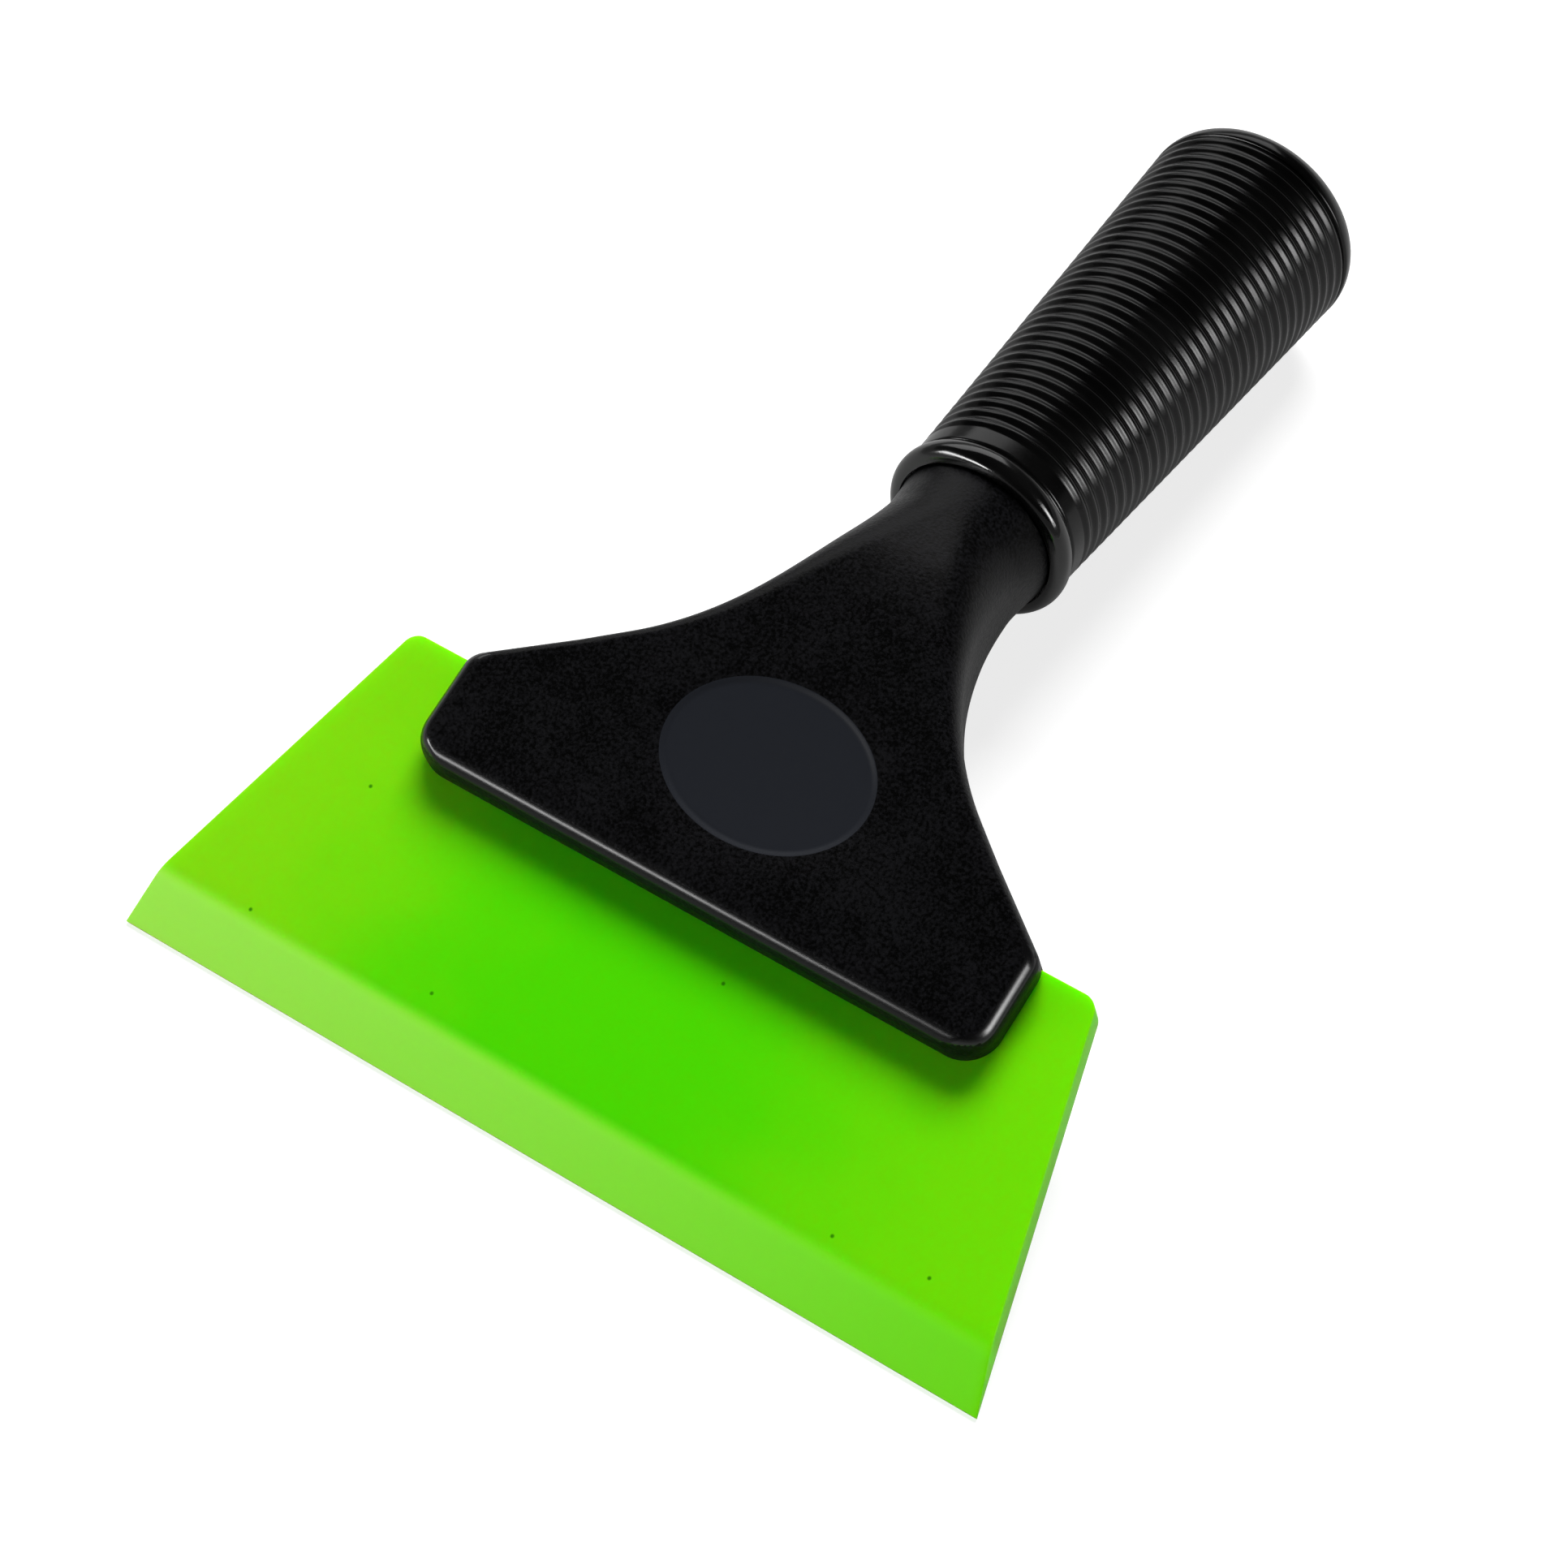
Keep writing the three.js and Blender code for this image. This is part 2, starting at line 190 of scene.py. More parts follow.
# Studio light
# Soft boxes that show only as reflections: low in front on the left, on the right with a brighter middle, and
# behind on the left. Three fills light only the colours, so the black pieces mirror a dim room.
room_white = "#FFFFFF"
room_light = 0.03
soft_boxes = {
    "front_left_box": {
        "towards": (-0.60, -0.72, 0.35),
        "distance": 0.9,
        "size": (0.75, 0.15),
        "radiance": 17.0,
    },
    "right_box": {
        "towards": (0.905, -0.06, 0.42),
        "distance": 1.0,
        "size": (0.42, 0.46),
        "radiance": 4.4,
    },
    "right_box_middle": {
        "towards": (0.905, -0.06, 0.42),
        "distance": 0.99,
        "size": (0.22, 0.25),
        "radiance": 9.6,
    },
    "back_left_box": {
        "towards": (-0.52, 0.62, 0.58),
        "distance": 1.0,
        "size": (1.1, 0.6),
        "radiance": 1.6,
    },
}
fills = {
    "top_fill": {
        "towards": (-0.20, 0.56, 0.80),
        "distance": 1.2,
        "size": (0.8, 0.5),
        "radiance": 19.4,
    },
    "front_fill": {
        "towards": (-0.25, -0.96, 0.045),
        "distance": 0.9,
        "size": (0.8, 0.07),
        "radiance": 28.0,
    },
    "right_fill": {
        "towards": (0.97, -0.05, 0.06),
        "distance": 0.9,
        "size": (0.5, 0.1),
        "radiance": 17.0,
    },
}

room = bpy.data.worlds.new("dim_room")
room.use_nodes = True
room.node_tree.nodes["Background"].inputs["Color"].default_value = linear(room_white)
room.node_tree.nodes["Background"].inputs["Strength"].default_value = room_light
bpy.context.scene.world = room

for name, box in (soft_boxes | fills).items():
    lamp_data = bpy.data.lights.new(name, "AREA")
    lamp_data.shape = "RECTANGLE"
    lamp_data.size, lamp_data.size_y = box["size"]
    lamp_data.energy = box["radiance"] * math.pi * lamp_data.size * lamp_data.size_y
    lamp = bpy.data.objects.new(name, lamp_data)
    towards = Vector(box["towards"]).normalized()
    lamp_facing = towards.to_track_quat("Z", "Y").to_matrix().to_4x4()
    lamp.matrix_world = Matrix.Translation(towards * box["distance"]) @ lamp_facing
    lamp.visible_glossy = name in soft_boxes
    lamp.visible_diffuse = name in fills
    lamp.visible_camera = False
    bpy.context.collection.objects.link(lamp)

# Blade
# A trapezoid of lime green polyurethane, cast as a sheet and cut to shape, with its front ground to a bevel
# down to the working edge. Its upper 15 mm are held between the jaws.
mm = 0.001
blade_edge_width = 127.0
blade_top_width = 101.6
blade_height = 50.0
blade_thickness = 5.0
blade_shift = -1.2
blade_corner_radius = 1.6
blade_edge_round = 0.22
bevel_height = 7.5
crease_round = 1.4
edge_land = 0.6
panel_middle = 55.0
panel_floor = 7.5
bevel_ring = 0.4
crease_steps = 5
body_steps = 8
blade_corner_steps = 8
blade_edge_steps = 4
bevel_facing = 0.3
blade_sharp_degrees = 25
weld_distance = 1e-4

# The pieces are drawn in the tool's own millimetres: x across, y from the working edge to the handle, z out
# of the front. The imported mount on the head's panel says how the tool lies.
panel_mount = next(mount for mount in frame["record"]["mounts"] if mount["name"] == "head_panel")
rest_tilt = math.atan2(-panel_mount["axis"][1], panel_mount["axis"][2])
lying = Matrix.Rotation(rest_tilt, 4, "X") @ Matrix.Scale(mm, 4)
panel_place = lying @ Vector((0.0, panel_middle, panel_floor))
lay_down = Matrix.Translation(Vector(panel_mount["pos_m"]) - panel_place) @ lying


def rounded_outline(half_width, low, high, low_round, high_round, steps):
    """Points (x, z) round a rectangle with rounded corners, with close lines beside its corners."""
    line_shares = (0.985, 0.6, 0.2, -0.2, -0.6, -0.985)
    corners = (
        (1, high, -1, high_round),
        (-1, high, -1, high_round),
        (-1, low, 1, low_round),
        (1, low, 1, low_round),
    )
    points = []
    for turn, (side, level, inward, radius) in enumerate(corners):
        for i in range(steps + 1):
            angle = math.radians(90 * (turn + i / steps))
            x = side * (half_width - radius) + radius * math.cos(angle)
            points.append((x, level + inward * radius + radius * math.sin(angle)))
        if turn in (0, 2):
            points += [(side * share * (half_width - radius), level) for share in line_shares]
    return points


def add_piece(name, mesh, materials, sharp_degrees):
    """Lays a finished mesh down in the tool's place and makes it an object."""
    bmesh.ops.remove_doubles(mesh, verts=mesh.verts, dist=weld_distance)
    bmesh.ops.recalc_face_normals(mesh, faces=mesh.faces)
    bmesh.ops.transform(mesh, matrix=lay_down, verts=mesh.verts)
    for face in mesh.faces:
        face.smooth = True
    data = bpy.data.meshes.new(name)
    mesh.to_mesh(data)
    mesh.free()
    data.set_sharp_from_angle(angle=math.radians(sharp_degrees))
    for material in materials:
        data.materials.append(material)
    piece = bpy.data.objects.new(name, data)
    bpy.context.collection.objects.link(piece)
    return piece


blade_back = -blade_thickness / 2
crease_end = bevel_height + crease_round
corner_start = blade_height - blade_corner_radius
blade_levels = [0.0, bevel_height * bevel_ring]
for i in range(2 * crease_steps + 1):
    blade_levels.append(bevel_height + crease_round * (i - crease_steps) / crease_steps)
for i in range(1, body_steps + 1):
    blade_levels.append(crease_end + (corner_start - crease_end) * i / body_steps)
for i in range(1, blade_corner_steps + 1):
    angle = math.radians(90 * i / blade_corner_steps)
    blade_levels.append(blade_height - blade_corner_radius * (1 - math.sin(angle)))
blade_rings = []
for level in blade_levels:
    below = min(max(crease_end - level, 0.0), 2 * crease_round)
    fall = below ** 2 / (4 * crease_round) + max(bevel_height - crease_round - level, 0.0)
    front = blade_thickness / 2 - (blade_thickness - edge_land) * fall / bevel_height
    half = blade_edge_width / 2 + (blade_top_width - blade_edge_width) / 2 * level / blade_height
    past = min(max(level - corner_start, 0.0), blade_corner_radius)
    half -= blade_corner_radius - math.sqrt(blade_corner_radius ** 2 - past ** 2)
    outline = rounded_outline(
        half, blade_back, front, blade_edge_round, blade_edge_round, blade_edge_steps
    )
    blade_rings.append([Vector((x + blade_shift, level, z)) for x, z in outline])
blade_mesh = bmesh.new()
add_rings(blade_mesh, blade_rings)
bmesh.ops.recalc_face_normals(blade_mesh, faces=blade_mesh.faces)
cast_faces, bevel_faces = range(2)
for face in blade_mesh.faces:
    on_bevel = face.calc_center_median().y < bevel_height and face.normal.z > bevel_facing
    face.material_index = bevel_faces if on_bevel else cast_faces

# Cast polyurethane: green light goes a few millimetres in and comes out again, so the body glows. Its green
# turns lighter and yellower towards its ends, most of all at the left, as painted light; its satin skin has a
# few dark specks.
# The ground bevel has lost that skin and is paler, partly from a painted sheen; it is palest at the left,
# where that painted sheen is strongest, with fine streaks along the edge.
# At the crease the two colours run into each other.
green_middle = "#4FD400"
# The end greens are painted light for light through the blade's ends, with more of it at the left.
green_left_end_painted_light = "#84D50E"
green_right_end_painted_light = "#74DB05"
green_speck = "#2A8800"
# The bevel greens are pale from the grinding and partly a painted sheen, which is strongest at the left.
green_bevel_left_ground_and_sheen = "#A4FF3A"
green_bevel_right = "#7AFC0C"
ends_from = 22 * mm
ends_to = 66 * mm
left_to_right = 60 * mm
cloud_size = 16 * mm
cloud_drift = 24 * mm
crease_fade = 2.4
speck_cell = 15 * mm
speck_radius = 0.22 * mm
speck_fade_from = 1.6
speck_fade_to = 0.5
speck_rarity = 0.6
skin_grain = 0.5 * mm
streak_length = 30 * mm
streak_width = 0.5 * mm
skin_bump = 0.25
skin_relief = 0.04 * mm
skin_smoothest = 0.32
skin_roughest = 0.44
urethane_ior = 1.5
depth_of_light = 4 * mm
colour_of_depth = (0.25, 1.0, 0.05)
cast_shine = 0.08
cast_glow = 0.9
ground_shine = 0.11
ground_glow = 0.15
up_the_blade = Vector((0.0, math.cos(rest_tilt), math.sin(rest_tilt)))
crease_foot = lay_down @ Vector((0.0, bevel_height - 0.5 * crease_fade, 0.0))
crease_head = lay_down @ Vector((0.0, bevel_height + 0.5 * crease_fade, 0.0))
cast_blade = start_material("polyurethane_cast")
bevel_blade = start_material("polyurethane_ground_bevel")
for green, shine_level, glow_level in (
    (cast_blade, cast_shine, cast_glow),
    (bevel_blade, ground_shine, ground_glow),
):
    where = add_node(green, "ShaderNodeTexCoord", {}, {})
    apart = add_node(green, "ShaderNodeSeparateXYZ", {}, {"Vector": where.outputs["Object"]})
    aside = add_node(green, "ShaderNodeMath", {"operation": "ABSOLUTE"}, {0: apart.outputs["X"]})
    cloud = add_node(green, "ShaderNodeTexNoise", {}, {
        "Vector": where.outputs["Object"],
        "Scale": 1 / cloud_size,
        "Detail": 3.0,
    })
    drift = add_node(green, "ShaderNodeMath", {"operation": "MULTIPLY_ADD"}, {
        0: cloud.outputs["Fac"],
        1: cloud_drift,
        2: aside.outputs["Value"],
    })
    # Painted light: towards the ends the colour turns lighter and yellower.
    ends = add_node(green, "ShaderNodeMapRange", {"interpolation_type": "SMOOTHSTEP"}, {
        "Value": drift.outputs["Value"],
        "From Min": ends_from,
        "From Max": ends_to,
    })
    # Painted light from the left: a ramp from the left end to the right end, used for the ends and for the
    # bevel's sheen.
    light_from_left_ramp = add_node(green, "ShaderNodeMapRange", {}, {
        "Value": apart.outputs["X"],
        "From Min": -left_to_right,
        "From Max": left_to_right,
    })
    painted_end_light_tint = add_node(green, "ShaderNodeMix", {"data_type": "RGBA"}, {
        0: light_from_left_ramp.outputs["Result"],
        6: linear(green_left_end_painted_light),
        7: linear(green_right_end_painted_light),
    })
    body = add_node(green, "ShaderNodeMix", {"data_type": "RGBA"}, {
        0: ends.outputs["Result"],
        6: linear(green_middle),
        7: painted_end_light_tint.outputs[2],
    })
    # The ground's pale tone with a painted sheen that is strongest at the left end.
    ground_tone_and_sheen = add_node(green, "ShaderNodeMix", {"data_type": "RGBA"}, {
        0: light_from_left_ramp.outputs["Result"],
        6: linear(green_bevel_left_ground_and_sheen),
        7: linear(green_bevel_right),
    })
    rise = add_node(green, "ShaderNodeVectorMath", {"operation": "DOT_PRODUCT"}, {
        0: where.outputs["Object"],
        1: up_the_blade,
    })
    crease = add_node(green, "ShaderNodeMapRange", {"interpolation_type": "SMOOTHSTEP"}, {
        "Value": rise.outputs["Value"],
        "From Min": up_the_blade.dot(crease_foot),
        "From Max": up_the_blade.dot(crease_head),
    })
    colour = add_node(green, "ShaderNodeMix", {"data_type": "RGBA"}, {
        0: crease.outputs["Result"],
        6: ground_tone_and_sheen.outputs[2],
        7: body.outputs[2],
    })
    if green is cast_blade:
        cells = add_node(green, "ShaderNodeTexVoronoi", {"voronoi_dimensions": "2D"}, {
            "Vector": where.outputs["Object"],
            "Scale": 1 / speck_cell,
        })
        near = add_node(green, "ShaderNodeMapRange", {"interpolation_type": "SMOOTHSTEP"}, {
            "Value": cells.outputs["Distance"],
            "From Min": speck_fade_from * speck_radius / speck_cell,
            "From Max": speck_fade_to * speck_radius / speck_cell,
        })
        chosen = add_node(green, "ShaderNodeMath", {"operation": "GREATER_THAN"}, {
            0: cells.outputs["Color"],
            1: speck_rarity,
        })
        speck = add_node(green, "ShaderNodeMath", {"operation": "MULTIPLY"}, {
            0: near.outputs["Result"],
            1: chosen.outputs["Value"],
        })
        colour = add_node(green, "ShaderNodeMix", {"data_type": "RGBA"}, {
            0: speck.outputs["Value"],
            6: colour.outputs[2],
            7: linear(green_speck),
        })
        grain = add_node(green, "ShaderNodeTexNoise", {}, {
            "Vector": where.outputs["Object"],
            "Scale": 1 / skin_grain,
            "Detail": 2.0,
        })
    else:
        along = add_node(green, "ShaderNodeMapping", {}, {
            "Vector": where.outputs["Object"],
            "Scale": (1 / streak_length, 1 / streak_width, 1 / streak_width),
        })
        grain = add_node(green, "ShaderNodeTexNoise", {}, {
            "Vector": along.outputs["Vector"],
            "Scale": 1.0,
            "Detail": 3.0,
        })
    relief = add_node(green, "ShaderNodeBump", {}, {
        "Height": grain.outputs["Fac"],
        "Strength": skin_bump,
        "Distance": skin_relief,
    })
    gloss = add_node(green, "ShaderNodeMapRange", {}, {
        "Value": grain.outputs["Fac"],
        "To Min": skin_smoothest,
        "To Max": skin_roughest,
    })
    surface = add_node(green, "ShaderNodeBsdfPrincipled", {}, {
        "Base Color": colour.outputs[2],
        "Roughness": gloss.outputs["Result"],
        "IOR": urethane_ior,
        "Specular IOR Level": shine_level,
        "Subsurface Weight": glow_level,
        "Subsurface Radius": colour_of_depth,
        "Subsurface Scale": depth_of_light,
        "Normal": relief.outputs["Normal"],
    })
    add_node(green, "ShaderNodeOutputMaterial", {}, {"Surface": surface.outputs["BSDF"]})

blade = add_piece("blade_cast", blade_mesh, (cast_blade, bevel_blade), blade_sharp_degrees)
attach(blade, "blade")
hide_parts("blade")

# Head moulding
# Front jaw, fan, bent neck and tang in one piece of black ABS, injection moulded in a spark-eroded mould.
# It carries the blade in its jaw and the grip on its tang, and is screwed to the clamp plate behind.
fit_gap = 0.3
jaw_width = 84.5
jaw_grip = 15.0
jaw_wall = 5.05
jaw_corner_radius = 4.9
jaw_edge_radius = 2.7
bite_pitch = 3.6
bite_width = 1.6
bite_depth = 0.5
bite_count = 3
bite_inset = 7.0
shoulder_radius = 3.1
flare_angle = math.radians(53.3)
flare_radius = 39.0
waist_below = 8.0
neck_radius = 11.25
rounding_power = 1.8
bend_rise = 8.35
bend_radius = 80.5
bend_angle = math.radians(22)
neck_length = 11.9
face_blend = 2.0
panel_width = 29.0
panel_height = 22.0
panel_rim = (
    (1.0, 0.0),
    (0.75, 0.03),
    (0.5, 0.12),
    (0.25, 0.25),
    (0.05, 0.33),
    (-0.1, 0.37),
    (-0.4, 0.8),
)
panel_margin = 0.2
panel_tolerance = 0.01
clamp_rise = 18.0
clamp_bend_allowance = 0.6
screw_rise = 8.5
screw_spacing = 22.0
screw_length = 8.5
shank_radius = 1.5
clamp_seat = 2.0
pilot_spare = 0.6
pocket_width = 10.0
pocket_height = 9.0
pocket_rise = 4.0
front_wall = 3.4
neck_seat = 3.0
tang_radius = 9.75
tang_draft = 0.5
tang_end = 72.3
cut_round = 0.3
worn_from = 0.5
worn_to = 0.94
lip_sideways = 0.2
ring_gap = 0.02
outline_steps = 12
jaw_corner_steps = 16
shoulder_steps = 12
fan_steps = 6
flare_steps = 48
panel_sides = 96
pilot_sides = 24
moulding_sharp_degrees = 32

jaw_inside = blade_thickness / 2 + fit_gap
head_half = jaw_inside + jaw_wall
lip = blade_height - jaw_grip
slot_end = blade_height + fit_gap
bend_start = blade_height + bend_rise
bend_end = bend_start + bend_radius * bend_angle
collar = bend_end + neck_length
waist = collar - waist_below
# The plate ends square to the bent spine, so its end lies a little further along the spine than it rises.
clamp_top = blade_height + clamp_rise + clamp_bend_allowance
head_back_start = clamp_top + fit_gap
screw_places = {"left": -screw_spacing, "middle": 0.0, "right": screw_spacing}
screw_height = blade_height + screw_rise
screw_seat = -(jaw_inside + clamp_seat + fit_gap)
pilot_radius = shank_radius + fit_gap
pilot_end = screw_seat + screw_length + pilot_spare
pocket_foot = blade_height + pocket_rise


def sag(radius, offset):
    """How far a circle has fallen away from its tangent, at an offset along the tangent."""
    return radius - math.sqrt(radius * radius - offset * offset)


def drawn_in(radius, height):
    """How far a rounded edge has drawn in, at a height above its start."""
    return sag(radius, max(radius - height, 0.0))


waist_half = neck_radius - sag(flare_radius, waist_below)
flare_foot = waist - flare_radius * math.sin(flare_angle)
flare_foot_half = waist_half + flare_radius * (1 - math.cos(flare_angle))
shoulder = flare_foot - (jaw_width / 2 - flare_foot_half) / math.tan(flare_angle)
shoulder_start = shoulder - shoulder_radius * math.tan(flare_angle / 2)
shoulder_end = shoulder_start + shoulder_radius * math.sin(flare_angle)


def spine_at(s):
    """Place of the spine at a distance s along it, and the angle that it has bent back by there."""
    tilt = min(max((s - bend_start) / bend_radius, 0.0), bend_angle)
    after = max(s - bend_end, 0.0)
    y = min(s, bend_start) + bend_radius * math.sin(tilt) + after * math.cos(tilt)
    z = -bend_radius * (1 - math.cos(tilt)) - after * math.sin(tilt)
    return y, z, tilt


def head_size_at(s):
    """Half width, half thickness and corner radius of the head, square to its spine."""
    if s <= shoulder_start:
        half_width = jaw_width / 2 - drawn_in(jaw_corner_radius, s - lip)
    elif s <= shoulder_end:
        half_width = jaw_width / 2 - sag(shoulder_radius, s - shoulder_start)
    elif s <= flare_foot:
        half_width = jaw_width / 2 - (s - shoulder) * math.tan(flare_angle)
    else:
        half_width = waist_half + sag(flare_radius, min(s, collar) - waist)
    flat_face = above_spine(s, head_half)
    blend = max(face_blend - abs(flat_face - neck_radius), 0.0) / face_blend
    half_thickness = min(flat_face, neck_radius) - blend * blend * face_blend / 4
    half_thickness -= drawn_in(jaw_edge_radius, s - lip)
    share = min(max((s - bend_start) / (collar - waist_below / 2 - bend_start), 0.0), 1.0)
    radius = jaw_edge_radius + (neck_radius - jaw_edge_radius) * share ** rounding_power
    return half_width, half_thickness, min(radius, half_width, half_thickness)


def above_spine(s, level):
    """Height of a level plane above the spine, square to it."""
    _, z, tilt = spine_at(s)
    return (level - z) / math.cos(tilt)


def square_to_spine(s, outline):
    """An outline's points at a place on the spine."""
    y, z, tilt = spine_at(s)
    return [Vector((x, y + up * math.sin(tilt), z + up * math.cos(tilt))) for x, up in outline]


def stations_in(start, end):
    """Places on the spine where the head gets a ring, close together in its curves."""
    places = []
    for i in range(jaw_corner_steps + 1):
        angle = math.radians(90 * i / jaw_corner_steps)
        places.append(lip + jaw_corner_radius * (1 - math.cos(angle)))
    for i in range(shoulder_steps + 1):
        angle = flare_angle * i / shoulder_steps
        places.append(shoulder_start + shoulder_radius * math.sin(angle))
    for i in range(1, fan_steps):
        places.append(shoulder_end + (flare_foot - shoulder_end) * i / fan_steps)
    for i in range(flare_steps + 1):
        places.append(flare_foot + (collar - flare_foot) * i / flare_steps)
    inside = sorted(place for place in places if start + ring_gap < place < end - ring_gap)
    return [start + ring_gap] + inside + [end - ring_gap]


def add_bite_grooves(cutters, floor):
    """Adds blind grooves across a jaw's inner face, from the slot's middle to the level of their floor."""
    reach = jaw_width / 2 - bite_inset
    for i in range(bite_count):
        middle = lip + jaw_grip / 2 + (i - (bite_count - 1) / 2) * bite_pitch
        add_rings(cutters, [
            [
                Vector((side * reach, middle + end * bite_width / 2, z))
                for side, end in ((-1, -1), (1, -1), (1, 1), (-1, 1))
            ]
            for z in (0.0, floor)
        ])


def cut_away(mesh, cutters):
    """Cuts closed cutters out of a mesh, both in the tool's millimetres."""
    bmesh.ops.remove_doubles(mesh, verts=mesh.verts, dist=weld_distance)
    bmesh.ops.recalc_face_normals(mesh, faces=mesh.faces)
    bmesh.ops.recalc_face_normals(cutters, faces=cutters.faces)
    blanks = []
    for name, part in (("blank", mesh), ("cutters", cutters)):
        data = bpy.data.meshes.new(name)
        part.to_mesh(data)
        blanks.append(bpy.data.objects.new(name, data))
        bpy.context.collection.objects.link(blanks[-1])
    cut = blanks[0].modifiers.new("cut", "BOOLEAN")
    cut.operation = "DIFFERENCE"
    cut.solver = "EXACT"
    cut.object = blanks[1]
    finished = blanks[0].evaluated_get(bpy.context.evaluated_depsgraph_get()).to_mesh()
    mesh.clear()
    mesh.from_mesh(finished)
    cutters.free()
    for blank in blanks:
        data = blank.data
        bpy.data.objects.remove(blank)
        bpy.data.meshes.remove(data)


# The jaw in front of the blade, the fan in front of the clamp plate, the whole neck, and the tang
head_rings = []
for s in stations_in(lip, slot_end):
    half_width, half_thickness, radius = head_size_at(s)
    radius = min(radius, half_thickness - jaw_inside - cut_round)
    outline = rounded_outline(
        half_width, jaw_inside, half_thickness, cut_round, radius, outline_steps
    )
    head_rings.append(square_to_spine(s, outline))
for s in stations_in(slot_end, head_back_start):
    half_width, half_thickness, radius = head_size_at(s)
    low = above_spine(s, -blade_thickness / 2)
    outline = rounded_outline(half_width, low, half_thickness, cut_round, radius, outline_steps)
    head_rings.append(square_to_spine(s, outline))
for s in stations_in(head_back_start, collar + neck_seat):
    half_width, half_thickness, radius = head_size_at(s)
    low = drawn_in(cut_round, s - clamp_top - fit_gap) - half_thickness
    outline = rounded_outline(half_width, low, half_thickness, radius, radius, outline_steps)
    head_rings.append(square_to_spine(s, outline))
for s, radius in (
    (collar + neck_seat, tang_radius),
    (collar + tang_end, tang_radius - tang_draft),
):
    outline = rounded_outline(radius, -radius, radius, radius, radius, outline_steps)
    head_rings.append(square_to_spine(s, outline))
head_mesh = bmesh.new()
add_rings(head_mesh, head_rings)

# Sunk oval panel with a soft rim, bite grooves, pilot holes and cored pockets
panel_rings = []
for inward, height in panel_rim:
    half_width = panel_width / 2 - inward
    half_height = panel_height / 2 - inward
    panel_rings.append([
        Vector((half_width * math.cos(t), panel_middle + half_height * math.sin(t), panel_floor + height))
        for t in turns_round(panel_sides)
    ])
head_cutters = bmesh.new()
add_rings(head_cutters, panel_rings)
add_bite_grooves(head_cutters, jaw_inside + bite_depth)
for x in screw_places.values():
    add_rings(head_cutters, [
        [
            Vector((x + pilot_radius * math.cos(t), screw_height + pilot_radius * math.sin(t), z))
            for t in turns_round(pilot_sides)
        ]
        for z in (-head_half, pilot_end)
    ])
for middle in (-screw_spacing / 2, screw_spacing / 2):
    add_rings(head_cutters, [
        [
            Vector((middle + side * pocket_width / 2, pocket_foot + share * pocket_height, z))
            for side, share in ((-1, 0), (1, 0), (1, 1), (-1, 1))
        ]
        for z in (-head_half, head_half - front_wall)
    ])
cut_away(head_mesh, head_cutters)

# The panel's faces, and the rounded edges of the jaw along its lip and round its ends
eroded_faces, panel_faces, lip_faces, end_faces = range(4)
head_mesh.normal_update()
for face in head_mesh.faces:
    lowest = min(v.co.z for v in face.verts)
    sunk = panel_floor - panel_tolerance < lowest < head_half - panel_tolerance
    in_oval = all(
        (v.co.x / (panel_width / 2 + panel_margin)) ** 2
        + ((v.co.y - panel_middle) / (panel_height / 2 + panel_margin)) ** 2 < 1
        for v in face.verts
    )
    on_jaw = face.calc_center_median().y < shoulder_end
    face.material_index = eroded_faces
    if in_oval and sunk:
        face.material_index = panel_faces
    elif on_jaw and worn_from < face.normal.z < worn_to:
        face.material_index = lip_faces if abs(face.normal.x) < lip_sideways else end_faces

# Spark-eroded ABS: a fine dull grain that breaks up every reflection, a little cloudy from the melt's flow.
# Its grain is about 0.1 mm; it is drawn at 0.45 mm so that it shows.
black_abs = "#020202"
black_abs_cloud = "#0F0F11"
abs_ior = 1.53
eroded_grain = 0.45 * mm
eroded_cloud = 7 * mm
eroded_cloud_share = 0.4
mottle_from = 0.58
mottle_to = 0.86
eroded_smoothest = 0.32
eroded_roughest = 0.42
eroded_bump = 0.6
eroded_relief = 0.1 * mm
eroded_shine = 0.11
eroded_abs = start_material("abs_spark_eroded")
where = add_node(eroded_abs, "ShaderNodeTexCoord", {}, {})
grain = add_node(eroded_abs, "ShaderNodeTexNoise", {}, {
    "Vector": where.outputs["Object"],
    "Scale": 1 / eroded_grain,
    "Detail": 2.0,
    "Roughness": 0.6,
})
cloud = add_node(eroded_abs, "ShaderNodeTexNoise", {}, {
    "Vector": where.outputs["Object"],
    "Scale": 1 / eroded_cloud,
    "Detail": 4.0,
    "Roughness": 0.65,
})
speckle = add_node(eroded_abs, "ShaderNodeMath", {"operation": "MULTIPLY_ADD"}, {
    0: cloud.outputs["Fac"],
    1: eroded_cloud_share,
    2: grain.outputs["Fac"],
})
mottle = add_node(eroded_abs, "ShaderNodeMapRange", {}, {
    "Value": speckle.outputs["Value"],
    "From Min": mottle_from,
    "From Max": mottle_to,
})
colour = add_node(eroded_abs, "ShaderNodeMix", {"data_type": "RGBA"}, {
    0: mottle.outputs["Result"],
    6: linear(black_abs),
    7: linear(black_abs_cloud),
})
gloss = add_node(eroded_abs, "ShaderNodeMapRange", {}, {
    "Value": mottle.outputs["Result"],
    "To Min": eroded_smoothest,
    "To Max": eroded_roughest,
})
relief = add_node(eroded_abs, "ShaderNodeBump", {}, {
    "Height": grain.outputs["Fac"],
    "Strength": eroded_bump,
    "Distance": eroded_relief,
})
surface = add_node(eroded_abs, "ShaderNodeBsdfPrincipled", {}, {
    "Base Color": colour.outputs[2],
    "Roughness": gloss.outputs["Result"],
    "IOR": abs_ior,
    "Specular IOR Level": eroded_shine,
    "Normal": relief.outputs["Normal"],
})
add_node(eroded_abs, "ShaderNodeOutputMaterial", {}, {"Surface": surface.outputs["BSDF"]})

